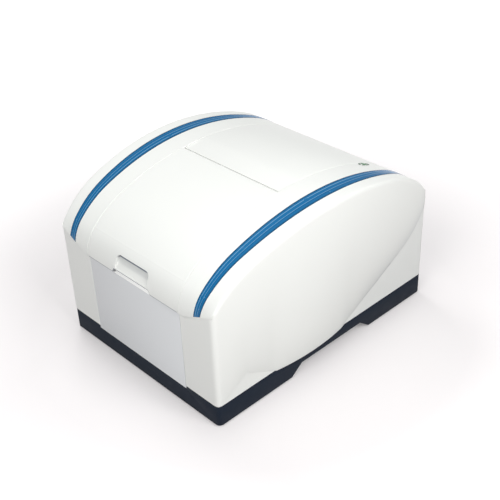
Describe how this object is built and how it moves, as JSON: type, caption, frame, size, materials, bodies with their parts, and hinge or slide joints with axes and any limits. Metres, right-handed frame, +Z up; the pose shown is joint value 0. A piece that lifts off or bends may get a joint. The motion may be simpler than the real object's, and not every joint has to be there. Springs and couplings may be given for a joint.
{
  "type": "infrared spectrometer",
  "caption": "Bench-top Fourier transform infrared spectrometer with an arched hood, a hinged lid over the sample bay, blue side stripes and a dark tray; optics and electronics inside.",
  "frame": {"origin": "on the bench, under the middle of the whole machine", "axes": "+X to the right seen from the front, +Y to the back, +Z up"},
  "size_m": [0.4394, 0.536, 0.3233],
  "materials": {
    "hood_white": "fine satin moulding",
    "stripe_blue": "gloss with thin lengthwise lines",
    "liner_grey": "satin",
    "seal_black": "closed cell foam",
    "steel": "plain",
    "acetal": "smooth",
    "bezel_black": "satin",
    "window_clear": "polished",
    "splitter_clear": "coated",
    "holder_alloy": "fine brushed",
    "card_black": "satin",
    "tray_navy": "fine texture",
    "foot_rubber": "matt",
    "cast_alloy": "cast and machined",
    "panel_grey": "satin",
    "rear_grey": "fine texture",
    "gold_mirror": "polished gold",
    "coil_black": "satin",
    "fin_alloy": "anodised",
    "ceramic_white": "matt",
    "wheel_black": "black anodised",
    "board_green": "solder mask",
    "cartridge_blue": "satin",
    "brass": "nickel free",
    "supply_steel": "zinc plated",
    "fan_black": "satin",
    "inlet_black": "satin",
    "rocker_black": "gloss",
    "port_steel": "tin plated",
    "lens_green": "translucent",
    "magnet_steel": "nickel plated"
  },
  "bodies": {
    "case": {"right_cheek": "hood_white", "left_cheek": "hood_white", "top_cover": "hood_white", "right_stripe": "stripe_blue", "left_stripe": "stripe_blue", "hinge_bushes": "acetal", "compartment_tub": "liner_grey", "window_bezel_left": "bezel_black", "window_bezel_right": "bezel_black", "window_left": "window_clear", "window_right": "window_clear", "sample_holder": "holder_alloy", "base_tray": "tray_navy", "foot_front_left": "foot_rubber", "foot_front_right": "foot_rubber", "foot_rear_left": "foot_rubber", "foot_rear_right": "foot_rubber", "optical_bench": "cast_alloy", "bench_isolators": "foot_rubber", "front_panel": "panel_grey", "rear_panel": "rear_grey", "interferometer_block": "cast_alloy", "beam_splitter": "splitter_clear", "fixed_mirror": "gold_mirror", "voice_coil": "coil_black", "collimating_mirror": "gold_mirror", "focusing_mirror": "gold_mirror", "collecting_mirror": "gold_mirror", "fold_mirrors": "gold_mirror", "mirror_stands": "cast_alloy", "source_housing": "fin_alloy", "source_element": "ceramic_white", "aperture_motor": "coil_black", "laser_tube": "holder_alloy", "laser_cradles": "wheel_black", "detector_module": "wheel_black", "preamp_board": "board_green", "desiccant_cartridges": "cartridge_blue", "main_board": "board_green", "board_posts": "brass", "power_supply": "supply_steel", "fan_frame": "fan_black", "power_inlet": "inlet_black", "data_port": "port_steel", "purge_port": "brass", "screws": "steel", "status_lens": "lens_green", "latch_magnets": "magnet_steel"},
    "lid": {"sample_lid": "hood_white", "lid_liner": "liner_grey", "lid_seal": "seal_black", "hinge_pins": "steel", "latch_plates": "supply_steel"},
    "card": {"sample_card": "card_black"},
    "scan_carriage": {"moving_mirror": "gold_mirror"},
    "wheel": {"aperture_wheel": "wheel_black"},
    "rotor": {"fan_rotor": "fan_black"},
    "rocker": {"power_rocker": "rocker_black"},
    "drawer": {"fuse_drawer": "inlet_black"}
  },
  "joints": [
    {"name": "lid_hinge", "type": "hinge", "parent": "case", "child": "lid", "pos_m": [0, -0.042, 0.31523], "axis": [-1, 0, 0], "range_deg": [0, 80]},
    {"name": "card_slide", "type": "slide", "parent": "case", "child": "card", "axis": [0, 0, 1], "range_m": [0, 0.07]},
    {"name": "scan_slide", "type": "slide", "parent": "case", "child": "scan_carriage", "axis": [1, 0, 0], "range_m": [-0.006, 0.006], "stiffness_N_per_m": 30},
    {"name": "wheel_spin", "type": "hinge", "parent": "case", "child": "wheel", "pos_m": [-0.07, 0.166, 0.133], "axis": [0, 1, 0], "continuous": true},
    {"name": "fan_spin", "type": "hinge", "parent": "case", "child": "rotor", "pos_m": [-0.066, 0.2545, 0.165], "axis": [0, 1, 0], "continuous": true},
    {"name": "power_rocker_tilt", "type": "hinge", "parent": "case", "child": "rocker", "pos_m": [0.078, 0.2626, 0.105], "axis": [1, 0, 0], "range_deg": [0, 14]},
    {"name": "fuse_slide", "type": "slide", "parent": "case", "child": "drawer", "axis": [0, 1, 0], "range_m": [0, 0.018]}
  ]
}
